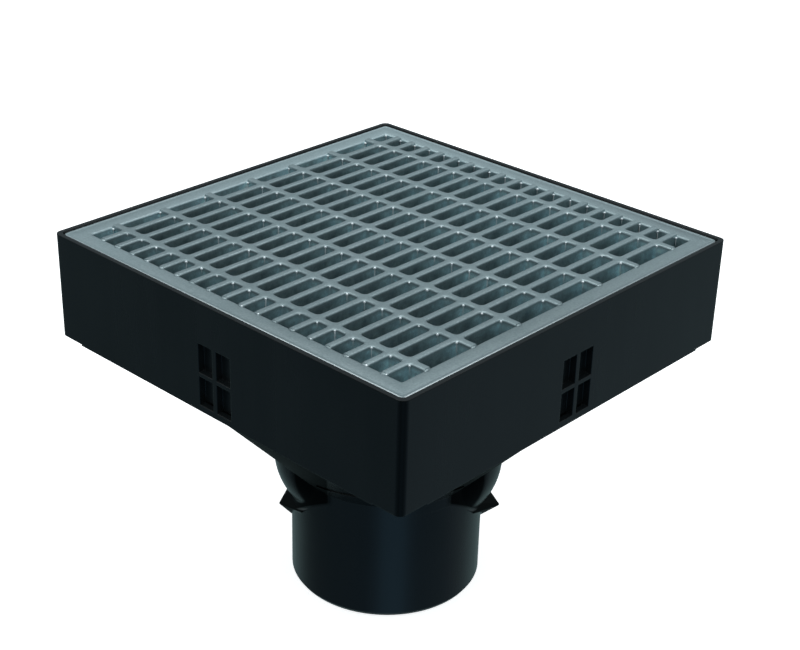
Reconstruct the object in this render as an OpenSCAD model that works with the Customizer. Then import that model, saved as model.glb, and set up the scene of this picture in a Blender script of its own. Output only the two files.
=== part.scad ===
// Yard gully trap: square moulded gully body with a conical funnel and a
// vertical outlet spigot, a pressed steel mesh grating that rests in the rim,
// and a lift-out bell trap that holds the water seal in the funnel's throat.
// The origin is the centre of the spigot's end face, +Z is up.

/* [Gully body] */
// Outer side of the square body
body_w = 255; // [240:1:280]
// Height of the square skirt
skirt_h = 61.1; // [60:0.1:80]
// Height over all, from the spigot's end to the rim
total_h = 210; // [206:1:240]
// Wall thickness of the square body
wall = 2.5; // [2:0.1:3]
// Radius of the four upright corners
corner_r = 4; // [1.5:0.5:6]
// Thickness of the seat ledge under the grating's flange
ledge_t = 3; // [2:0.5:5]

/* [Funnel and outlet] */
// Outer diameter of the outlet spigot (110 mm drain pipe)
spigot_d = 110; // [104:1:114]
// Wall thickness of the spigot
spigot_wall = 3; // [2.4:0.1:3.4]
// Length of the spigot's straight end, which enters the pipe's socket
spigot_straight = 31; // [26:0.5:31.5]
// Height where the funnel meets the spigot
throat_z = 74; // [73:0.5:76]
// Rise of the funnel for each millimetre of radius
funnel_slope = 1.066; // [1.03:0.005:1.1]
// Distance of the two pockets' ball centres from the axis
pocket_at = 25; // [23:0.5:27]
// Outer radius of the two pockets' balls
pocket_r = 41; // [40:0.5:42]
// Reach of the pointed lug at the +X -Y corner from the axis
lug_reach = 66; // [60:0.1:70]
// Reach of the pointed lug at the -X +Y corner from the axis
lug_reach_back = 62.4; // [60:0.1:70]

/* [Side knock-outs] */
// Width of the four-cell field in each side
ko_w = 23.8; // [20:0.1:30]
// Upper edge of the field, below the rim
ko_top = 22.5; // [15:0.1:24]
// Lower edge of the field, below the rim
ko_bottom = 57.5; // [50:0.1:58]
// Thickness of the upright rib between the cells
ko_rib_v = 2.7; // [2:0.1:5]
// Thickness of the level rib between the cells
ko_rib_h = 2.1; // [2:0.1:5]
// Depth of the cells
ko_depth = 4; // [2:0.1:4]

/* [Grating] */
// Outer side of the square grating
grate_w = 248.5; // [247:0.5:249]
// Width of the frame's flat flange
flange_w = 11; // [9:0.5:12]
// Thickness of the flange
flange_t = 3; // [2:0.5:3]
// Depth of the grating
grate_h = 20; // [15:1:30]
// Thickness of the frame's upright leg
leg_t = 2.5; // [2:0.1:2.5]
// Gap between the flange's top and the rim
recess = 0.9; // [0.2:0.1:1.5]
// Rise of the bars above the flange
bar_rise = 0.9; // [0:0.1:0.9]
// Pitch of the bearing bars
bar_pitch = 12.1; // [11.5:0.05:12.5]
// Thickness of the bearing bars
bar_t = 4; // [2:0.1:4.5]
// Pitch of the cross bars
cross_pitch = 32.3; // [30:0.1:34]
// Thickness of the cross bars
cross_t = 4.4; // [2:0.1:4.6]
// Depth of the cross bars
cross_h = 10; // [6:0.5:12]

/* [Bell trap] */
// Outer radius of the trap's cup
cup_r = 48; // [46:0.5:49]
// Wall thickness of the trap's parts
trap_wall = 2; // [1.5:0.1:2.4]
// Depth of the water seal
seal_depth = 50; // [40:1:52]
// Outer radius of the bell
bell_r = 36; // [33:0.5:38]
// Outer radius of the overflow pipe inside the cup
riser_r = 22; // [18:0.5:24]

/* [Hidden] */
$fn = 128;

hb = body_w / 2;                       // half side of the body
skirt_z = total_h - skirt_h;           // lower edge of the skirt
floor_t = 3;                           // thickness of the corner floors
r_out = spigot_d / 2;                  // spigot, outside
r_bore = r_out - spigot_wall;          // spigot, inside
grate_top = total_h - recess;          // top of the grating's flange
bar_top = grate_top + bar_rise;        // top of the bars
grate_at = [0.4, 0.5, 0];              // where the grating lies in its clearance
seat_z = grate_top - flange_t;         // where the flange rests
hg = grate_w / 2;                      // half side of the grating
hi = hg - flange_w;                    // half side of the grating's opening
hp = hg + 0.7;                         // half side of the recess in the rim
hl = hi + leg_t + 1;                   // half side of the seat's opening
spigot_draft = 0.4;                    // growth of the radius above the straight end
shoulder_z = throat_z + 2;             // ledge in the throat, carries the cup
funnel_in = 4.1;                       // funnel wall, measured level
shoulder_r = r_out + (shoulder_z + 2 - throat_z) / funnel_slope - funnel_in;
pocket_z = 75;                         // height of the pockets' ball centres
pocket_wall = 2.5;
lug_z = total_h - 169.6;               // height of the lugs' points
cup_z = 12;                            // underside of the cup
riser_z = shoulder_z - 2;              // top of the overflow pipe
bell_rim = riser_z - seal_depth;       // rim of the bell
n_bars = floor((2 * hi - bar_pitch) / bar_pitch) + 1;
n_cross = floor((2 * hi - 20) / cross_pitch) + 1;

// Square with round corners: side 2*h, corner radius r
module rsquare(h, r) {
    union() {
        square([2 * h, 2 * (h - r)], center = true);
        square([2 * (h - r), 2 * h], center = true);
        for (x = [-1, 1], y = [-1, 1])
            translate([x * (h - r), y * (h - r)]) circle(r = r, $fn = 48);
    }
}

module rblock(h, r, z0, z1) {
    translate([0, 0, z0]) linear_extrude(height = z1 - z0) rsquare(h, r);
}

// Outside radius of the funnel at height z
function funnel_r(z) = r_out + (z - throat_z) / funnel_slope;

// Funnel and spigot as one turned section
module funnel_shell() {
    zt = skirt_z + floor_t;
    rotate_extrude()
        polygon([
            [r_out - 1.5, 0], [r_out, 2.2], [r_out, spigot_straight],
            [r_out + spigot_draft, throat_z + spigot_draft * funnel_slope],
            [funnel_r(skirt_z), skirt_z], [funnel_r(skirt_z), zt],
            [funnel_r(zt) - funnel_in, zt],
            [shoulder_r, shoulder_z + 2], [shoulder_r, shoulder_z],
            [r_bore, shoulder_z], [r_bore, 0]]);
}

// Space inside the funnel, taken out of the body's floor
module funnel_space() {
    zt = skirt_z + floor_t;
    rotate_extrude()
        polygon([
            [0, -1], [r_bore, -1], [r_bore, shoulder_z],
            [shoulder_r, shoulder_z], [shoulder_r, shoulder_z + 2],
            [funnel_r(zt) - funnel_in, zt], [funnel_r(zt) - funnel_in, zt + 1], [0, zt + 1]]);
}

// Bulge at the throat on the side of a lug, part of a ball; d makes the hollow.
// The one on the -X +Y side stands a little further in and higher.
module pocket(d, back) {
    translate([pocket_at - (back ? 1 : 0), 0, pocket_z + (back ? 3 : 0)])
        sphere(r = pocket_r - d, $fn = 128);
}

// Pointed lug below a pocket, with wings that rise along the throat
module lug(reach, rise) {
    translate([0, 0, rise]) hull() {
        translate([reach - 1, 0, lug_z]) sphere(r = 1, $fn = 16);
        translate([r_out - 2, 0, lug_z + 14]) sphere(r = 0.8, $fn = 16);
        translate([r_out - 0.9, 0, lug_z - 7.2]) sphere(r = 0.8, $fn = 16);
        for (s = [-1, 1]) {
            rotate(s * 30) translate([r_out + 0.7, 0, lug_z + 12.6]) sphere(r = 0.8, $fn = 16);
            rotate(s * 52) translate([r_out - 0.4, 0, lug_z + 28.6]) sphere(r = 0.8, $fn = 16);
        }
    }
}

// Shallow pad around the throat, facing a corner of the body
module throat_pad() {
    zb = throat_z - 6.5;
    zt = throat_z + 12;
    intersection() {
        rotate_extrude()
            polygon([
                [r_out - 1, zb], [r_out + 0.9, zb], [r_out + 0.9, throat_z],
                [funnel_r(zt) + 0.9, zt], [funnel_r(zt) - 2, zt], [r_out - 1, throat_z]]);
        translate([0, 0, zb - 1]) linear_extrude(height = zt - zb + 2)
            polygon([[0, 0], [80, -60], [80, 60]]);
    }
}

// One field of four cells, cut into the side that faces -Y
module ko_cells() {
    cw = (ko_w - ko_rib_v) / 2;
    ch = (ko_bottom - ko_top - ko_rib_h) / 2;
    zr = total_h - (ko_top + ko_bottom) / 2;
    for (x = [-1, 1], z = [-1, 1])
        translate([x * (cw + ko_rib_v) / 2, -hb + ko_depth / 2 - 1, zr + z * (ch + ko_rib_h) / 2])
            cube([cw, ko_depth + 2, ch], center = true);
}

// Thickened wall behind the cells
module ko_pad() {
    translate([-ko_w / 2 - 3, -hb + wall - 0.5, skirt_z + 1])
        cube([ko_w + 6, ko_depth - wall + 2, skirt_h - ko_top + 2]);
}

// Bracket under the seat ledge, on the side that faces -Y
module ledge_bracket(x) {
    w = hb - wall - hl + 0.5;
    translate([x - 1.25, -hb + wall - 0.5, seat_z - ledge_t])
        rotate([90, 0, 90]) linear_extrude(height = 2.5)
            polygon([[0, 0.5], [w, 0.5], [w, -1], [0, -22]]);
}

module gully_body() {
    color([0.09, 0.11, 0.125])
    difference() {
        union() {
            difference() {
                rblock(hb, corner_r, skirt_z, total_h);
                rblock(hb - wall, corner_r - 1, skirt_z + floor_t, seat_z - ledge_t);
                rblock(hl, 2, skirt_z + floor_t, total_h + 1);
                rblock(hp, 3, seat_z, total_h + 1);
                // shallow recess under the four corner floors
                difference() {
                    rblock(hb - wall, corner_r - 1, skirt_z - 1, skirt_z + 1);
                    translate([0, 0, skirt_z - 2]) cylinder(r = funnel_r(skirt_z), h = 4);
                }
                // skirt edge relieved next to the corners
                for (a = [0 : 90 : 270]) rotate(a)
                    for (s = [-1, 1])
                        translate([s * (hb - 8) - 10, -hb - 1, skirt_z - 1])
                            cube([20, wall + 1, 1.8]);
            }
            funnel_shell();
            for (a = [-45, 135]) rotate(a) { pocket(0, a > 0); lug(a < 0 ? lug_reach : lug_reach_back, a < 0 ? -0.6 : -0.4); }
            for (a = [45, 225]) rotate(a) throat_pad();
            for (a = [0 : 90 : 270]) rotate(a) {
                ko_pad();
                for (x = [-95, -50, 50, 95]) ledge_bracket(x);
            }
        }
        funnel_space();
        for (a = [-45, 135]) rotate(a) pocket(pocket_wall, a > 0);
        for (a = [0 : 90 : 270]) rotate(a)
            translate([a == 270 ? 0.8 : 0, 0, 0]) ko_cells();
    }
}

// Frame of the grating: flat flange outside, upright leg inside
module grate_frame() {
    color([0.56, 0.61, 0.63])
    translate(grate_at) union() {
        difference() {
            rblock(hg, 2.5, seat_z, grate_top);
            translate([-hi, -hi, seat_z - 1]) cube([2 * hi, 2 * hi, flange_t + 2]);
        }
        difference() {
            rblock(hi + leg_t, 1.5, grate_top - grate_h, seat_z);
            translate([-hi, -hi, grate_top - grate_h - 1]) cube([2 * hi, 2 * hi, grate_h + 2]);
        }
    }
}

// One bearing bar, slotted from above for the cross bars
module bearing_bar() {
    difference() {
        translate([-hi, -bar_t / 2, grate_top - grate_h]) cube([2 * hi, bar_t, grate_h + bar_rise]);
        for (i = [0 : n_cross - 1])
            translate([(i - (n_cross - 1) / 2) * cross_pitch - cross_t / 2, -bar_t, bar_top - cross_h])
                cube([cross_t, 2 * bar_t, cross_h + 1]);
    }
}

module grate_bearing_bars() {
    color([0.52, 0.58, 0.60])
    translate(grate_at) for (k = [0 : n_bars - 1])
        translate([0, (k - (n_bars - 1) / 2) * bar_pitch, 0]) bearing_bar();
}

module grate_cross_bars() {
    color([0.60, 0.66, 0.68])
    translate(grate_at) for (i = [0 : n_cross - 1])
        translate([(i - (n_cross - 1) / 2) * cross_pitch - cross_t / 2, -hi, bar_top - cross_h])
            cube([cross_t, 2 * hi, cross_h]);
}

// Cup of the trap: flange on the shoulder, ring-shaped trough, overflow pipe
module trap_cup() {
    color([0.12, 0.13, 0.14])
    union() {
        rotate_extrude()
            polygon([
                [riser_r - trap_wall, cup_z], [cup_r, cup_z],
                [cup_r, 36], [cup_r - 0.8, 36], [cup_r - 0.8, 42], [cup_r, 42],
                [cup_r, shoulder_z - 0.5], [r_bore, shoulder_z],
                [shoulder_r - 0.4, shoulder_z], [shoulder_r - 0.4, shoulder_z + 2],
                [cup_r - trap_wall, shoulder_z + 2], [cup_r - trap_wall, cup_z + 2.5],
                [riser_r, cup_z + 2.5], [riser_r, riser_z],
                [riser_r - trap_wall, riser_z]]);
        // two tongues that drop into the throat's pockets
        for (a = [-45, 135]) rotate(a)
            difference() {
                translate([cup_r - 1, -6, shoulder_z - 10]) cube([12, 12, 12]);
                translate([cup_r + 2.2, -8, shoulder_z - 11]) cube([6, 16, 11]);
                translate([0, 0, shoulder_z - 12]) cylinder(r = cup_r - trap_wall, h = 16);
            }
    }
}

// Lip ring between the cup and the spigot's bore
module trap_seal_ring() {
    color([0.05, 0.05, 0.055])
    rotate_extrude()
        polygon([
            [cup_r - 0.8, 36], [cup_r - 0.8, 42], [cup_r + 0.6, 42],
            [r_bore, 45], [r_bore, 43.2], [cup_r + 1.6, 40.6], [r_bore, 40.4],
            [r_bore, 38.6], [cup_r + 1.4, 37.4], [cup_r + 0.6, 36]]);
}

// Bell over the overflow pipe, with its lifting loop
module trap_bell() {
    dome = riser_z + 14;
    color([0.11, 0.12, 0.13])
    union() {
        difference() {
            rotate_extrude()
                polygon([
                    [bell_r - trap_wall, bell_rim], [bell_r, bell_rim],
                    [bell_r, dome - 5], [bell_r - 2, dome], [20, dome + 5], [0, dome + 6.5],
                    [0, dome + 4.3], [19.5, dome + 2.8], [bell_r - 3.6, dome - 1.6],
                    [bell_r - trap_wall, dome - 5.5]]);
        }
        // four fins that sit on the overflow pipe and centre the bell
        for (a = [0 : 90 : 270]) rotate(a)
            rotate([90, 0, 0]) translate([0, 0, -1]) linear_extrude(height = 2)
                polygon([
                    [riser_r - 5, riser_z], [riser_r + 0.6, riser_z], [riser_r + 0.6, riser_z - 12],
                    [bell_r - 1, riser_z - 12], [bell_r - 1, dome - 5], [bell_r - 3.5, dome - 1],
                    [riser_r - 5, dome + 3.4]]);
        // lifting loop
        translate([0, 0, dome + 4])
            rotate([90, 0, 0]) translate([0, 0, -4]) linear_extrude(height = 8)
                difference() {
                    union() {
                        translate([-15, -1]) square([30, 13]);
                        translate([-11, 11]) square([22, 5]);
                        for (s = [-1, 1]) translate([s * 11, 12]) circle(r = 4, $fn = 48);
                    }
                    translate([-11, 2.6]) square([22, 9.4]);
                }
    }
}

gully_body();
grate_frame();
grate_bearing_bars();
grate_cross_bars();
trap_cup();
trap_seal_ring();
trap_bell();
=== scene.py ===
import math
import random

import bmesh
import bpy
import numpy as np
from mathutils import Matrix, Vector


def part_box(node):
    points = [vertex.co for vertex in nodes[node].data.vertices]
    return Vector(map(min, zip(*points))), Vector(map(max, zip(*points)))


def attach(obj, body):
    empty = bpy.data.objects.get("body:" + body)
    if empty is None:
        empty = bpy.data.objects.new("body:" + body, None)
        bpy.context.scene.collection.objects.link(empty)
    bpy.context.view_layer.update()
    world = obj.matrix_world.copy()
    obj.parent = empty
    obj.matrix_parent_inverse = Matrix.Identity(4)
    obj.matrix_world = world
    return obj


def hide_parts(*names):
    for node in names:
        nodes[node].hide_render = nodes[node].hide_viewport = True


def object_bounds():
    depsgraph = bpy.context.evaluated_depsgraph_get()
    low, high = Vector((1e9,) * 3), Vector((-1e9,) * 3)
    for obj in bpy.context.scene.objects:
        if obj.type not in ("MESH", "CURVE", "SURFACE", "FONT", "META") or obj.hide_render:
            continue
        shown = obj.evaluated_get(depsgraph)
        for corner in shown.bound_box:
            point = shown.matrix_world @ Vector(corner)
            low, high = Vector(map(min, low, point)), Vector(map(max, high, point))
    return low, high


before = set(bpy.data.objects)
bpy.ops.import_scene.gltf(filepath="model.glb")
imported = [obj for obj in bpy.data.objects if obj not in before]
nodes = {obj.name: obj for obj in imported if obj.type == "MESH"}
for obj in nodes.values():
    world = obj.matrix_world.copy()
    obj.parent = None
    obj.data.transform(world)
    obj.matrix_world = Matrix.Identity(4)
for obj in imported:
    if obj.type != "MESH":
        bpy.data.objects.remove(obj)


def plain(b):
    return [[float(c) for c in p] for p in b]


cad_box = plain(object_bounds())
MM = 0.001

# ---------------------------------------------------------------- colour management
scene = bpy.context.scene
scene.view_settings.view_transform = "Standard"
scene.view_settings.look = "None"
scene.view_settings.exposure = 0.0
scene.view_settings.gamma = 1.0

# ---------------------------------------------------------------- camera
CAM_F = 1594.79  # focal length, in widths of one part in 800
CAM_AZ, CAM_EL, CAM_ROLL = map(math.radians, (-47.3953, 26.8298, 1.5462))
CAM_T = Vector((-0.0151, -0.1867, 3.3492)) * 0.255


def camera():
    a, e, r = CAM_AZ, CAM_EL, CAM_ROLL
    back = Vector((math.sin(a) * math.cos(e), -math.cos(a) * math.cos(e), math.sin(e)))
    fwd = -back
    right = fwd.cross(Vector((0, 0, 1))).normalized()
    up = right.cross(fwd)
    right2 = math.cos(r) * right + math.sin(r) * up
    up2 = -math.sin(r) * right + math.cos(r) * up
    rows = Matrix((right2, -up2, fwd))
    loc = -(rows.transposed() @ CAM_T) + Vector((0, 0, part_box("gully_body")[1].z))
    cam = bpy.data.cameras.new("camera")
    cam.sensor_fit = "HORIZONTAL"
    cam.sensor_width = 36.0
    cam.lens = CAM_F / 800.0 * 36.0
    cam.clip_start = 0.02
    cam.clip_end = 50.0
    cam.dof.use_dof = False
    ob = bpy.data.objects.new("camera", cam)
    m = Matrix.Identity(4)
    for i in range(3):
        m[i][0], m[i][1], m[i][2] = right2[i], up2[i], -fwd[i]
        m[i][3] = loc[i]
    ob.matrix_world = m
    scene.collection.objects.link(ob)
    scene.camera = ob
    return ob


camera()


# ---------------------------------------------------------------- mesh helpers
def new_object(name, verts, faces, smooth_angle=None):
    me = bpy.data.meshes.new(name)
    me.from_pydata([tuple(v) for v in verts], [], faces)
    bm = bmesh.new()
    bm.from_mesh(me)
    bmesh.ops.remove_doubles(bm, verts=bm.verts, dist=2e-6)
    bmesh.ops.dissolve_degenerate(bm, edges=bm.edges, dist=1e-7)
    bmesh.ops.recalc_face_normals(bm, faces=bm.faces)
    bm.to_mesh(me)
    bm.free()
    me.update()
    ob = bpy.data.objects.new(name, me)
    scene.collection.objects.link(ob)
    if smooth_angle is not None:
        smooth_by_angle(ob, smooth_angle)
    return ob


def smooth_by_angle(ob, degrees):
    me = ob.data
    for p in me.polygons:
        p.use_smooth = True
    bm = bmesh.new()
    bm.from_mesh(me)
    limit = math.radians(degrees)
    for e in bm.edges:
        e.smooth = len(e.link_faces) == 2 and e.calc_face_angle(0) < limit
    bm.to_mesh(me)
    bm.free()


def loose_boxes(node):
    """Boxes of the separate solids in one CAD node."""
    bm = bmesh.new()
    bm.from_mesh(nodes[node].data)
    bmesh.ops.remove_doubles(bm, verts=bm.verts, dist=1e-6)
    seen, out = set(), []
    for v in bm.verts:
        if v.index in seen:
            continue
        stack, pts = [v], []
        seen.add(v.index)
        while stack:
            w = stack.pop()
            pts.append(w.co[:])
            for e in w.link_edges:
                o = e.other_vert(w)
                if o.index not in seen:
                    seen.add(o.index)
                    stack.append(o)
        pts = np.array(pts)
        out.append((pts.min(0), pts.max(0)))
    bm.free()
    return out


def outline(x0, x1, y0, y1, radii, n=6):
    """Points round a rectangle with its corners rounded: radii at (-,-), (+,-), (+,+), (-,+)."""
    pts = []
    corners = [
        (x0, y0, 180, radii[0]),
        (x1, y0, 270, radii[1]),
        (x1, y1, 0, radii[2]),
        (x0, y1, 90, radii[3]),
    ]
    for cx, cy, a0, r in corners:
        ox = cx + (r if cx == x0 else -r)
        oy = cy + (r if cy == y0 else -r)
        for k in range(n + 1):
            a = math.radians(a0 + 90 * k / n)
            pts.append((ox + r * math.cos(a), oy + r * math.sin(a)))
    return pts


# ---------------------------------------------------------------- the grating
bearing = sorted(loose_boxes("grate_bearing_bars"), key=lambda b: b[0][1])
cross = sorted(loose_boxes("grate_cross_bars"), key=lambda b: b[0][0])
f_lo, f_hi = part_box("grate_frame")
FX, FY = (f_lo.x + f_hi.x) / 2, (f_lo.y + f_hi.y) / 2  # centre of the grating
HG = (f_hi.x - f_lo.x) / 2
ZF = f_hi.z  # top of the flange
ZT = max(b[1][2] for b in bearing)  # top of the bars
Z0 = min(b[0][2] for b in bearing)
Z1 = min(b[0][2] for b in cross)
HI = (max(b[1][0] for b in bearing) - min(b[0][0] for b in bearing)) / 2
rng = random.Random(11)

LAP = 0.5 * MM  # the bars' ends reach a little over the flange
XS = [(FX - HI - LAP, FX - HI)] + [(b[0][0], b[1][0]) for b in cross] + [(FX + HI, FX + HI + LAP)]
YS = [(FY - HI - LAP, FY - HI)] + [(b[0][1], b[1][1]) for b in bearing] + [(FY + HI, FY + HI + LAP)]


def grid_mesh():
    """Bars, with the zinc that rounds their edges and fills the corners of each cell."""
    verts, faces = [], []

    def add(p):
        verts.append(p)
        return len(verts) - 1

    nx, ny = len(XS), len(YS)
    xm = [s[0] if i == 0 else s[1] if i == nx - 1 else (s[0] + s[1]) / 2 for i, s in enumerate(XS)]
    ym = [s[0] if j == 0 else s[1] if j == ny - 1 else (s[0] + s[1]) / 2 for j, s in enumerate(YS)]
    n = 6
    steps = 5
    for i in range(nx - 1):
        for j in range(ny - 1):
            x0, x1 = XS[i][1], XS[i + 1][0]
            y0, y1 = YS[j][1], YS[j + 1][0]
            # sides in order -Y, +X, +Y, -X: True where a bar lies there, False at the frame
            side = [j > 0, i < nx - 2, j < ny - 2, i > 0]
            rad = [rng.uniform(1.7, 2.4) * MM for _ in range(4)]
            rad[2] = rng.uniform(2.0, 2.7) * MM
            edge = rng.uniform(0.85, 1.0) * MM
            rise = rng.uniform(0.9, 1.1) * MM

            def loop(d, z, shrink=0.0):
                """Per corner, the points round it; corners at the frame have no arc."""
                ends = []
                lim = (xm[i], xm[i + 1], ym[j], ym[j + 1])
                spec = [
                    (x0 - d, y0 - d, 180, side[3], side[0], lim[0], lim[2], 1, 1),
                    (x1 + d, y0 - d, 270, side[0], side[1], lim[1], lim[2], -1, 1),
                    (x1 + d, y1 + d, 0, side[1], side[2], lim[1], lim[3], -1, -1),
                    (x0 - d, y1 + d, 90, side[2], side[3], lim[0], lim[3], 1, -1),
                ]
                for c, (cx, cy, a0, before, after, lx, ly, sx, sy) in enumerate(spec):
                    xbar = side[3] if c in (0, 3) else side[1]
                    ybar = side[0] if c in (0, 1) else side[2]
                    if xbar and ybar:
                        r = max(rad[c] + d - shrink, 0.5 * MM)
                        pts = []
                        for k in range(n + 1):
                            a = math.radians(a0 + 90 * k / n)
                            pts.append(add((cx + sx * r + r * math.cos(a), cy + sy * r + r * math.sin(a), z)))
                    elif ybar:
                        pts = [add((lx, cy, z))]
                    elif xbar:
                        pts = [add((cx, ly, z))]
                    else:
                        pts = None
                    ends.append(pts)
                return ends

            rings = []
            for k in range(steps + 1):
                a = math.pi / 2 * k / steps
                rings.append((edge * (1 - math.sin(a)), ZT - rise * (1 - math.cos(a)), 0.0))
            rings += [(0.0, ZT - 3 * MM, 0.1 * MM), (0.0, ZT - 6.5 * MM, 0.3 * MM), (0.0, Z1, 0.5 * MM)]
            loops = [loop(*q) for q in rings]
            corner = [(xm[i], ym[j]), (xm[i + 1], ym[j]), (xm[i + 1], ym[j + 1]), (xm[i], ym[j + 1])]
            for s in range(4):
                if not side[s]:
                    continue
                t = (s + 1) % 4
                # walls and rounded edge along side s, from the middle of one corner to the next
                strips_ = []
                for lp in loops:
                    a, b = lp[s], lp[t]
                    a = a[len(a) // 2:] if len(a) > 1 else a
                    b = b[: len(b) // 2 + 1] if len(b) > 1 else b
                    strips_.append(a + b)
                for a, b in zip(strips_, strips_[1:]):
                    for k in range(len(a) - 1):
                        faces.append((a[k], a[k + 1], b[k + 1], b[k]))
                for z, row in ((ZT, strips_[0]), (Z1, strips_[-1])):
                    faces.append(tuple([add((*corner[s], z))] + row + [add((*corner[t], z))]))
                # end faces where the bar stops at the frame
                for c, at in ((s, 0), (t, -1)):
                    other = side[(s - 1) % 4] if c == s else side[(s + 1) % 4]
                    if not other:
                        faces.append(tuple([add((*corner[c], ZT))] + [r[at] for r in strips_] + [add((*corner[c], Z1))]))
    return verts, faces


def strips():
    """The lower half of each bearing bar, with a rounded lower edge."""
    verts, faces = [], []
    r = 0.5 * MM
    for lo, hi in bearing:
        y0, y1 = lo[1] + 0.02 * MM, hi[1] - 0.02 * MM
        prof = [(y0, Z1 + 0.6 * MM)]
        for k in range(5):
            a = math.pi + math.pi / 2 * k / 4
            prof.append((y0 + r + r * math.cos(a), Z0 + r + r * math.sin(a)))
        for k in range(5):
            a = 1.5 * math.pi + math.pi / 2 * k / 4
            prof.append((y1 - r + r * math.cos(a), Z0 + r + r * math.sin(a)))
        prof.append((y1, Z1 + 0.6 * MM))
        base = len(verts)
        xs = (FX - HI - 0.3 * MM, FX + HI + 0.3 * MM)
        for x in xs:
            verts += [(x, y, z) for y, z in prof]
        m = len(prof)
        for k in range(m):
            faces.append((base + k, base + (k + 1) % m, base + m + (k + 1) % m, base + m + k))
        faces.append(tuple(base + k for k in range(m)))
        faces.append(tuple(base + m + k for k in reversed(range(m))))
    return verts, faces


def frame_mesh():
    """The edge frame: flange outside, leg inside, swept round the square."""
    n = 8
    seat = f_lo.z + (ZF - Z0) - 3.0 * MM
    hl = HI + 2.5 * MM
    rc = 2.6 * MM
    e = 0.8 * MM
    ei = 1.1 * MM
    rings = []
    # inner edge, rounded from the wall up to the flat
    for k in range(6):
        a = math.pi / 2 * k / 5
        rings.append((HI + ei - ei * math.cos(a), 0.6 * MM + ei - ei * math.cos(a), ZF - ei + ei * math.sin(a)))
    # a faint step where the flange's outer strip was rolled down
    rings += [(HG - 3.1 * MM, 0.3 * MM, ZF), (HG - 2.5 * MM, 0.5 * MM, ZF - 0.16 * MM),
              (HG - 1.5 * MM, 1.1 * MM, ZF - 0.10 * MM)]
    # and a low lip of zinc along the very edge
    for k in range(8):
        a = math.pi / 2 * k / 7
        rings.append((HG - e + e * math.sin(a), rc - e + e * math.sin(a), ZF + 0.12 * MM - e + e * math.cos(a)))
    for k in range(4):
        a = math.pi / 2 * k / 3
        rings.append((HG - 0.5 * MM + 0.5 * MM * math.cos(a), rc - 0.5 * MM + 0.5 * MM * math.cos(a),
                      seat + 0.5 * MM - 0.5 * MM * math.sin(a)))
    rings += [(hl, 1.5 * MM, seat), (hl, 1.5 * MM, Z0 + 0.4 * MM), (hl - 0.4 * MM, 1.1 * MM, Z0), (HI, 0.6 * MM, Z0)]
    verts, faces = [], []
    loops = []
    for h, r, z in rings:
        loops.append(list(range(len(verts), len(verts) + 4 * (n + 1))))
        verts += [(x, y, z) for x, y in outline(FX - h, FX + h, FY - h, FY + h, [r] * 4, n)]
    loops.append(loops[0])
    m = 4 * (n + 1)
    for a, b in zip(loops, loops[1:]):
        for k in range(m):
            faces.append((a[k], a[(k + 1) % m], b[(k + 1) % m], b[k]))
    return verts, faces


gv, gf = grid_mesh()
sv, sf = strips()
off = len(gv)
bars = new_object("grating_bars", gv + sv, gf + [tuple(i + off for i in f) for f in sf], 40)
fv, ff = frame_mesh()
edge_frame = new_object("grating_frame", fv, ff, 40)


def lump(verts, faces, centre, axes, radii, seed, nu=12, nv=6, top_only=False):
    """A rounded lump of zinc or weld, slightly uneven."""
    rnd = random.Random(seed)
    ph = [rnd.uniform(0, 6.28) for _ in range(4)]
    base = len(verts)
    rows = []
    for v in range(nv + 1):
        th = math.pi * v / nv
        row = []
        for u in range(nu):
            p = 2 * math.pi * u / nu
            w = 1 + 0.10 * math.sin(2 * p + ph[0]) * math.sin(th) + 0.07 * math.sin(3 * p + ph[1] + 2 * th)
            x = radii[0] * math.sin(th) * math.cos(p) * w
            y = radii[1] * math.sin(th) * math.sin(p) * w
            z = radii[2] * math.cos(th)
            q = Vector(centre) + Vector(axes[0]) * x + Vector(axes[1]) * y + Vector(axes[2]) * z
            row.append(len(verts))
            verts.append(q[:])
        rows.append(row)
    for a, b in zip(rows, rows[1:]):
        for u in range(nu):
            faces.append((a[u], a[(u + 1) % nu], b[(u + 1) % nu], b[u]))


# welds where the bars end on the frame
wv, wf = [], []
hv, hf = [], []
UX, UY, UZ = Vector((1, 0, 0)), Vector((0, 1, 0)), Vector((0, 0, 1))
for k, (lo, hi) in enumerate(bearing):
    y = (lo[1] + hi[1]) / 2
    for s in (-1, 1):
        x = FX + s * (HI + rng.uniform(0.1, 0.5) * MM)
        lump(wv, wf, (x, y + rng.uniform(-0.2, 0.2) * MM, ZF - 0.1 * MM), (UX, UY, UZ),
             (rng.uniform(1.2, 1.7) * MM, rng.uniform(1.9, 2.3) * MM, rng.uniform(0.75, 0.95) * MM), rng.random())
    # painted highlight: a near-white lump of zinc at the -X end of each bar, on its -Y side
    big = rng.random() ** 0.7
    lump(hv, hf, (FX - HI - rng.uniform(0.1, 0.5) * MM, y - rng.uniform(0.7, 1.3) * MM, ZF + 0.15 * MM), (UX, UY, UZ),
         (0.55 * MM + 0.55 * big * MM, 0.5 * MM + 0.45 * big * MM, 0.35 * MM + 0.3 * big * MM), rng.random())
for lo, hi in cross:
    x = (lo[0] + hi[0]) / 2
    for s in (-1, 1):
        y = FY + s * (HI + rng.uniform(0.1, 0.5) * MM)
        lump(wv, wf, (x + rng.uniform(-0.2, 0.2) * MM, y, ZF - 0.1 * MM), (UX, UY, UZ),
             (rng.uniform(2.0, 2.4) * MM, rng.uniform(1.2, 1.8) * MM, rng.uniform(0.75, 0.95) * MM), rng.random())
welds = new_object("bar_end_welds", wv, wf, 180)
weld_tip_highlights = new_object("weld_tip_highlights", hv, hf, 180)
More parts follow.
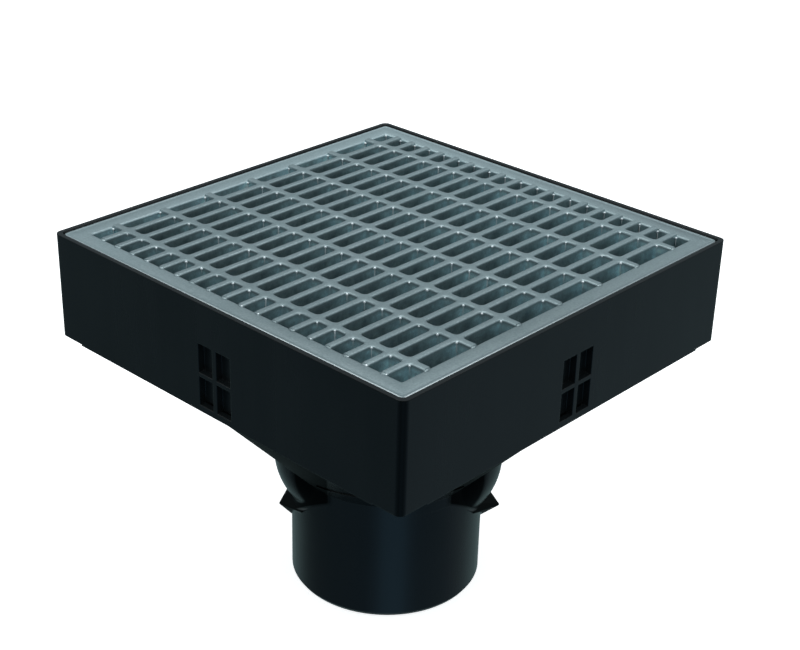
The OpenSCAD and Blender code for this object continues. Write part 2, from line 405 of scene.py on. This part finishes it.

# zinc drops in the +X,+Y corner of each cell, with a thin trail below, in near-white zinc: a painted highlight
bv, bf = [], []
for i in range(len(XS) - 1):
    for j in range(len(YS) - 1):
        x1, y1 = XS[i + 1][0], YS[j + 1][0]
        last_x, last_y = i == len(XS) - 2, j == len(YS) - 2
        inset = rng.uniform(0.45, 0.65) * MM
        cx, cy = x1 - inset, y1 - inset
        top = (ZF if last_x or last_y else ZT) - rng.uniform(0.35, 0.5) * MM
        r = rng.uniform(0.5, 0.72) * MM
        lump(bv, bf, (cx, cy, top - r), (UX, UY, UZ), (r * 1.15, r * 1.15, r * rng.uniform(0.9, 1.3)), rng.random(), 10, 6)
        length = rng.uniform(2.5, 7.0) * MM
        w = rng.uniform(0.2, 0.36) * MM
        base = len(bv)
        nu = 8
        prof = [(top - r, w * 1.3)] + [(top - r - length * t / 5, w * (1.2 - 0.9 * t / 5)) for t in range(1, 6)]
        prof = [(prof[0][0] + 0.1 * MM, 0.0)] + prof + [(prof[-1][0] - 0.1 * MM, 0.0)]
        for z, q in prof:
            for u in range(nu):
                p = 2 * math.pi * u / nu
                bv.append((cx + q * math.cos(p), cy + q * math.sin(p), z))
        for k in range(len(prof) - 1):
            for u in range(nu):
                bf.append((base + k * nu + u, base + k * nu + (u + 1) % nu,
                           base + (k + 1) * nu + (u + 1) % nu, base + (k + 1) * nu + u))
beads = new_object("zinc_bead_highlights", bv, bf, 180)


# ---------------------------------------------------------------- materials
def material(name):
    m = bpy.data.materials.new(name)
    m.use_nodes = True
    nt = m.node_tree
    bsdf = next(x for x in nt.nodes if x.type == "BSDF_PRINCIPLED")
    return m, nt, bsdf


def node(nt, kind, **kw):
    x = nt.nodes.new(kind)
    for k, v in kw.items():
        if k in x.inputs:
            x.inputs[k].default_value = v
        else:
            setattr(x, k, v)
    return x


def coords(nt, scale=(1, 1, 1)):
    tc = node(nt, "ShaderNodeTexCoord")
    mp = node(nt, "ShaderNodeMapping")
    mp.inputs["Scale"].default_value = scale
    nt.links.new(tc.outputs["Object"], mp.inputs["Vector"])
    return mp.outputs["Vector"]


def noise(nt, vec, scale, detail=3.0, rough=0.5):
    x = node(nt, "ShaderNodeTexNoise", Scale=scale, Detail=detail, Roughness=rough)
    nt.links.new(vec, x.inputs["Vector"])
    return x.outputs["Fac"]


def ramp(nt, fac, stops):
    x = node(nt, "ShaderNodeValToRGB")
    els = x.color_ramp.elements
    while len(els) > len(stops):
        els.remove(els[-1])
    while len(els) < len(stops):
        els.new(0.5)
    for e, (p, c) in zip(els, stops):
        e.position = p
        e.color = c if len(c) == 4 else (*c, 1)
    nt.links.new(fac, x.inputs["Fac"])
    return x.outputs["Color"]


def grey(v):
    return (v, v, v)


def maprange(nt, fac, lo, hi, a=0.0, b=1.0):
    x = node(nt, "ShaderNodeMapRange")
    x.inputs["From Min"].default_value = a
    x.inputs["From Max"].default_value = b
    x.inputs["To Min"].default_value = lo
    x.inputs["To Max"].default_value = hi
    nt.links.new(fac, x.inputs["Value"])
    return x.outputs["Result"]


def mix(nt, fac, a, b, blend="MIX"):
    x = node(nt, "ShaderNodeMix", data_type="RGBA", blend_type=blend)
    if isinstance(fac, (int, float)):
        x.inputs[0].default_value = fac
    else:
        nt.links.new(fac, x.inputs[0])
    for sock, val in ((x.inputs[6], a), (x.inputs[7], b)):
        if isinstance(val, tuple):
            sock.default_value = (*val, 1) if len(val) == 3 else val
        else:
            nt.links.new(val, sock)
    return x.outputs[2]


def soft_edges(nt, radius):
    return node(nt, "ShaderNodeBevel", samples=6, Radius=radius).outputs["Normal"]


def fmath(nt, op, a, b=None):
    x = node(nt, "ShaderNodeMath", operation=op)
    for sock, v in zip(x.inputs, (a, b)):
        if v is None:
            continue
        if isinstance(v, (int, float)):
            sock.default_value = v
        else:
            nt.links.new(v, sock)
    return x.outputs[0]


def bump(nt, bsdf, height, strength, distance, prev=None):
    x = node(nt, "ShaderNodeBump")
    x.inputs["Strength"].default_value = strength
    x.inputs["Distance"].default_value = distance
    nt.links.new(height, x.inputs["Height"])
    if prev is not None:
        nt.links.new(prev, x.inputs["Normal"])
    nt.links.new(x.outputs["Normal"], bsdf.inputs["Normal"])
    return x.outputs["Normal"]


PITCH = ((cross[-1][0][0] + cross[-1][1][0]) - (cross[0][0][0] + cross[0][1][0])) / 2 / (len(cross) - 1)


def zinc(name, dark, light, metallic=0.85, rough=(0.38, 0.55), plain_=False, painted_bar_shade=False):
    m, nt, b = material(name)
    v = coords(nt)
    blotch = noise(nt, v, 55, 4, 0.6)
    grain = noise(nt, v, 900, 2, 0.6)
    col = ramp(nt, blotch, [(0.30, dark), (0.70, light)])
    speck = ramp(nt, grain, [(0.35, grey(0.90)), (0.65, grey(1.06))])
    col = mix(nt, 1.0, col, speck, "MULTIPLY")
    rgh = maprange(nt, blotch, rough[1], rough[0], 0.3, 0.7)
    if not plain_:
        parts = node(nt, "ShaderNodeSeparateXYZ")
        nt.links.new(v, parts.inputs[0])
        x, y, z = parts.outputs
        # painted light: the zinc is multiplied darker towards -X,-Y and lighter towards +X,+Y, with a lighter spot at
        # the -X,-Y corner
        corner_light_fade = fmath(nt, "ADD", fmath(nt, "ADD", fmath(nt, "MULTIPLY", x, 1.30), fmath(nt, "MULTIPLY", y, 1.72)), 0.98)
        corner_light_fade = fmath(nt, "ADD", corner_light_fade, maprange(nt, fmath(nt, "ADD", x, y), 0.22, 0.0, -0.24, -0.15))
        col = mix(nt, 1.0, col, corner_light_fade, "MULTIPLY")
        if painted_bar_shade:
            # painted shade: the bars, and more so their sides, are greyer than the frame towards +Y
            far_shade = fmath(nt, "SUBTRACT", 0.955, fmath(nt, "ADD", fmath(nt, "MULTIPLY", x, 0.45), fmath(nt, "MULTIPLY", y, 1.55)))
            col = mix(nt, 1.0, col, far_shade, "MULTIPLY")
        # painted light down inside the cells, below the tops of the bars: bluish blotches of painted sheen, and painted
        # shade and light along each cell
        deep = maprange(nt, z, 1.0, 0.0, ZT - 3.0 * MM, ZT - 1.0 * MM)
        patch = ramp(nt, noise(nt, v, 150, 4, 0.65), [(0.32, (0.90, 1.00, 1.03)), (0.52, (1.28, 1.42, 1.44)), (0.70, (1.80, 1.98, 1.97))])
        # painted light: each cell's walls are lighter at their +X end and darker towards the -X end
        along = fmath(nt, "FRACT", fmath(nt, "ADD", fmath(nt, "DIVIDE", fmath(nt, "SUBTRACT", x, FX), PITCH), 20.0))
        cell_end_light = ramp(nt, along, [(0.07, grey(0.50)), (0.55, grey(0.46)), (0.78, grey(0.72)), (0.93, grey(1.0))])
        patch = mix(nt, 1.0, patch, mix(nt, 1.0, cell_end_light, grey(1.75), "MULTIPLY"), "MULTIPLY")
        if painted_bar_shade:
            patch = mix(nt, 1.0, patch, fmath(nt, "ADD", fmath(nt, "MULTIPLY", far_shade, 0.53), 0.35), "MULTIPLY")
        col = mix(nt, deep, col, mix(nt, 1.0, col, patch, "MULTIPLY"))
        # painted highlight: the outermost strip of the flange is lighter, and smoother too, so its edge shows a bright
        # line
        out = fmath(nt, "MAXIMUM", fmath(nt, "ABSOLUTE", fmath(nt, "SUBTRACT", x, FX)), fmath(nt, "ABSOLUTE", fmath(nt, "SUBTRACT", y, FY)))
        lip = maprange(nt, out, 0.0, 1.0, HG - 0.75 * MM, HG - 0.5 * MM)
        col = mix(nt, lip, col, (0.50, 0.56, 0.58))
        rgh = mix(nt, lip, rgh, grey(0.27))
    nt.links.new(col, b.inputs["Base Color"])
    nt.links.new(rgh, b.inputs["Roughness"])
    b.inputs["Metallic"].default_value = metallic
    nrm = bump(nt, b, noise(nt, v, 260, 3, 0.5), 0.25, 0.0004)
    bump(nt, b, grain, 0.12, 0.00008, nrm)
    return m


def plastic(name, dark, light, rough=(0.22, 0.34), spec=0.35, flow_and_shade=True, round_=0.0006):
    m, nt, b = material(name)
    v = coords(nt)
    cloud = noise(nt, v, 14, 3, 0.5)
    vs = coords(nt, (60, 60, 6))
    flow = noise(nt, vs, 1.0, 3, 0.5)
    col = ramp(nt, cloud, [(0.3, dark), (0.7, light)])
    rgh = maprange(nt, flow, rough[0], rough[1], 0.3, 0.7)
    if flow_and_shade:
        # painted shade: the upright corners, the throat on the lugs' sides and the top of the rim are painted nearly
        # black, with almost no specular and more roughness
        parts = node(nt, "ShaderNodeSeparateXYZ")
        nt.links.new(v, parts.inputs[0])
        x, y, z = parts.outputs
        corner = maprange(nt, fmath(nt, "ADD", fmath(nt, "ABSOLUTE", x), fmath(nt, "ABSOLUTE", y)),
                          0.0, 0.8, 2 * HB - 3.9 * MM, 2 * HB - 2.5 * MM)
        rad = fmath(nt, "SQRT", fmath(nt, "ADD", fmath(nt, "MULTIPLY", x, x), fmath(nt, "MULTIPLY", y, y)))
        off = fmath(nt, "DIVIDE", fmath(nt, "ABSOLUTE", fmath(nt, "SUBTRACT", x, y)), math.sqrt(2))
        dy = fmath(nt, "DIVIDE", fmath(nt, "ADD", x, y), math.sqrt(2))
        wing = fmath(nt, "SUBTRACT", z, fmath(nt, "MULTIPLY", fmath(nt, "ABSOLUTE", dy), 0.82))
        throat = fmath(nt, "MAXIMUM", maprange(nt, rad, 0.0, 1.0, 55.6 * MM, 56.2 * MM), maprange(nt, wing, 0.0, 1.0, 31.0 * MM, 33.0 * MM))
        throat = fmath(nt, "MULTIPLY", throat, maprange(nt, off, 0.0, 1.0, 31.0 * MM, 34.5 * MM))
        throat = fmath(nt, "MULTIPLY", throat, maprange(nt, z, 1.0, 0.0, 148.6 * MM, 149.0 * MM))
        # distance from the centre of the nearer ball-shaped bulge, whose lit side is kept out of the painted shade
        rear = fmath(nt, "LESS_THAN", fmath(nt, "SUBTRACT", x, y), 0.0)
        dx = fmath(nt, "ADD", fmath(nt, "SUBTRACT", off, 25 * MM), fmath(nt, "MULTIPLY", rear, 1 * MM))
        dz = fmath(nt, "SUBTRACT", fmath(nt, "SUBTRACT", z, 75 * MM), fmath(nt, "MULTIPLY", rear, 3 * MM))
        d2 = fmath(nt, "ADD", fmath(nt, "MULTIPLY", dx, dx), fmath(nt, "ADD", fmath(nt, "MULTIPLY", dy, dy), fmath(nt, "MULTIPLY", dz, dz)))
        ball = maprange(nt, fmath(nt, "SQRT", d2), 1.0, 0.0, 41.2 * MM, 41.7 * MM)
        ball = fmath(nt, "MULTIPLY", ball, maprange(nt, fmath(nt, "ABSOLUTE", dy), 1.0, 0.0, 26 * MM, 30 * MM))
        ball = fmath(nt, "MULTIPLY", ball, maprange(nt, z, 0.0, 1.0, 52 * MM, 60 * MM))
        throat = fmath(nt, "MULTIPLY", throat, fmath(nt, "SUBTRACT", 1.0, ball))
        # the top of the rim gets part of the painted shade too
        top = maprange(nt, z, 0.0, 0.42, cad_box[1][2] - 0.7 * MM, cad_box[1][2] - 0.25 * MM)
        painted_shade = fmath(nt, "MAXIMUM", fmath(nt, "MAXIMUM", corner, throat), top)
        col = mix(nt, painted_shade, col, (0.0012, 0.0018, 0.0021))
        nt.links.new(maprange(nt, painted_shade, spec, 0.02), b.inputs["Specular IOR Level"])
        rgh = fmath(nt, "MAXIMUM", rgh, maprange(nt, painted_shade, 0.0, 0.5))
    else:
        b.inputs["Specular IOR Level"].default_value = spec
    nt.links.new(col, b.inputs["Base Color"])
    nt.links.new(rgh, b.inputs["Roughness"])
    nrm = bump(nt, b, noise(nt, v, 1400, 2, 0.5), 0.02, 0.00006, soft_edges(nt, round_))
    if flow_and_shade:
        bump(nt, b, flow, 0.06, 0.0012, nrm)
    return m


HB = (cad_box[1][0] - cad_box[0][0]) / 2  # half side of the body
# the bars' zinc carries extra painted shade towards +Y and down in their cells
zinc_bars = zinc("zinc_bars", (0.27, 0.345, 0.365), (0.36, 0.44, 0.46), painted_bar_shade=True)
zinc_frame = zinc("zinc_frame", (0.29, 0.365, 0.385), (0.38, 0.46, 0.48))
# near-white zinc for the corner drops and the bar-end tips: a painted highlight
zinc_painted_highlight = zinc("zinc_painted_highlight", (0.75, 0.82, 0.85), (0.85, 0.90, 0.92), 0.3, (0.25, 0.4), True)
body_plastic = plastic("body_plastic", (0.0040, 0.0058, 0.0066), (0.0060, 0.0082, 0.0092), (0.20, 0.30), 0.42)
trap_plastic = plastic("trap_plastic", (0.010, 0.011, 0.012), (0.016, 0.017, 0.018), (0.35, 0.5), 0.4, False)
seal_rubber = plastic("seal_rubber", (0.006, 0.006, 0.0065), (0.01, 0.01, 0.011), (0.55, 0.7), 0.3, False)


def paint(ob, m):
    ob.data.materials.clear()
    ob.data.materials.append(m)


for name, m in (
    ("gully_body", body_plastic), ("trap_cup", trap_plastic), ("trap_bell", trap_plastic),
    ("trap_seal_ring", seal_rubber), ("grate_frame", zinc_frame),
    ("grate_bearing_bars", zinc_bars), ("grate_cross_bars", zinc_bars),
):
    o = nodes[name]
    if o.data.materials:
        for k in range(len(o.material_slots)):
            o.material_slots[k].material = m
    else:
        o.data.materials.append(m)

for ob, m, s, reps in (
    (bars, zinc_bars, "zinc_bars", ("grate_bearing_bars", "grate_cross_bars")),
    (edge_frame, zinc_frame, "zinc_frame", ("grate_frame",)),
    (welds, zinc_frame, "zinc_frame", ()),
    (beads, zinc_painted_highlight, "zinc_bars", ()),
    (weld_tip_highlights, zinc_painted_highlight, "zinc_frame", ()),
):
    paint(ob, m)
    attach(ob, "root")
    if reps:
        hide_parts(*reps)

# ---------------------------------------------------------------- floor, light
bm = bmesh.new()
bmesh.ops.create_grid(bm, x_segments=1, y_segments=1, size=6.0)
me = bpy.data.meshes.new("floor")
bm.to_mesh(me)
bm.free()
floor = bpy.data.objects.new("floor", me)
floor.location = (0, 0, cad_box[0][2] - 0.0002)
scene.collection.objects.link(floor)
fm, nt, b = material("floor")
b.inputs["Base Color"].default_value = (0.9, 0.9, 0.9, 1)
b.inputs["Roughness"].default_value = 0.9
b.inputs["Specular IOR Level"].default_value = 0.0
b.inputs["Emission Color"].default_value = (1, 1, 1, 1)
b.inputs["Emission Strength"].default_value = 0.8
paint(floor, fm)
floor.visible_diffuse = False
floor.visible_glossy = False  # like a matt white sweep: it lights the part but leaves no mirror image

# a studio round the part: white above, and below the horizon darker towards the front
world = bpy.data.worlds.new("world")
scene.world = world
world.use_nodes = True
nt = world.node_tree
bg = nt.nodes["Background"]
tc = node(nt, "ShaderNodeTexCoord")
sep = node(nt, "ShaderNodeSeparateXYZ")
nt.links.new(tc.outputs["Generated"], sep.inputs[0])


def wmath(op, a, b=None):
    x = node(nt, "ShaderNodeMath", operation=op)
    for sock, v in zip(x.inputs, (a, b)):
        if v is None:
            continue
        if isinstance(v, (int, float)):
            sock.default_value = v
        else:
            nt.links.new(v, sock)
    return x.outputs[0]


FRONT = (math.sin(CAM_AZ), -math.cos(CAM_AZ))  # level direction of the photographer
SIDE = (math.cos(CAM_AZ), math.sin(CAM_AZ))  # to the photographer's right
X, Y, Z = sep.outputs
flat = wmath("SQRT", wmath("ADD", wmath("MULTIPLY", X, X), wmath("MULTIPLY", Y, Y)))
TURN = math.radians(10)  # the window-like bright patch stands a little to the right of the photographer
FW = [math.cos(TURN) * a + math.sin(TURN) * b for a, b in zip(FRONT, SIDE)]
SW = [math.cos(TURN) * b - math.sin(TURN) * a for a, b in zip(FRONT, SIDE)]
front = wmath("DIVIDE", wmath("ADD", wmath("MULTIPLY", X, FW[0]), wmath("MULTIPLY", Y, FW[1])), flat)
side = wmath("DIVIDE", wmath("ADD", wmath("MULTIPLY", X, SW[0]), wmath("MULTIPLY", Y, SW[1])), flat)
# below the horizon, by how far round from the front
arc = maprange(nt, front, 0.0, 1.0, -1.0, 1.0)
low_right = ramp(nt, arc, [
    (0.0, (0.20, 0.29, 0.30)), (0.20, (0.20, 0.30, 0.31)), (0.32, (0.19, 0.28, 0.30)), (0.46, (0.165, 0.225, 0.25)),
    (0.60, (0.14, 0.20, 0.24)), (0.80, (0.12, 0.19, 0.24)), (0.93, (0.11, 0.18, 0.235)), (0.975, (0.14, 0.25, 0.34)),
    (0.99, (0.21, 0.41, 0.58))])
low_left = ramp(nt, arc, [
    (0.0, (0.21, 0.31, 0.32)), (0.10, (0.18, 0.27, 0.28)), (0.27, (0.10, 0.15, 0.165)), (0.42, (0.080, 0.122, 0.142)),
    (0.60, (0.085, 0.14, 0.175)), (0.80, (0.10, 0.165, 0.21)), (0.93, (0.10, 0.17, 0.225)), (0.975, (0.14, 0.25, 0.34)),
    (0.99, (0.21, 0.41, 0.58))])
low = mix(nt, maprange(nt, side, 0.0, 1.0, -0.25, 0.25), low_left, low_right)
high = ramp(nt, maprange(nt, Z, 0.0, 1.0, 0.0, 1.0), [
    (0.0, (0.42, 0.50, 0.53)), (0.30, (0.30, 0.37, 0.40)), (0.55, (0.34, 0.41, 0.44)), (0.72, (0.72, 0.80, 0.82)), (1.0, (0.90, 0.97, 0.98))])
sky = mix(nt, maprange(nt, Z, 0.0, 1.0, -0.30, 0.02), low, high)
nt.links.new(sky, bg.inputs[0])
bg.inputs[1].default_value = 0.9


def area(name, loc, target, size, power, color=(1, 1, 1)):
    l = bpy.data.lights.new(name, "AREA")
    l.shape = "RECTANGLE"
    l.size, l.size_y = size
    l.energy = power
    l.color = color
    ob = bpy.data.objects.new(name, l)
    ob.location = loc
    ob.rotation_euler = (Vector(target) - Vector(loc)).to_track_quat("-Z", "Y").to_euler()
    scene.collection.objects.link(ob)
    return ob


TOP = Vector((0, 0, cad_box[1][2]))


def place(az, el, dist):
    """A point seen from the top of the part: az from the front towards the right, el above level."""
    a, e = math.radians(az), math.radians(el)
    h = Vector((FRONT[0], FRONT[1], 0)) * math.cos(a) + Vector((SIDE[0], SIDE[1], 0)) * math.sin(a)
    return TOP + dist * (h * math.cos(e) + Vector((0, 0, math.sin(e))))


area("key", place(0, 62, 1.9), TOP, (0.7, 0.5), 10)
area("left", place(-88, 42, 1.0), TOP, (0.35, 0.3), 0.6)
area("right", place(88, 42, 1.0), TOP, (0.35, 0.3), 0.6)
area("back", place(180, 64, 1.9), TOP, (1.2, 0.6), 5)
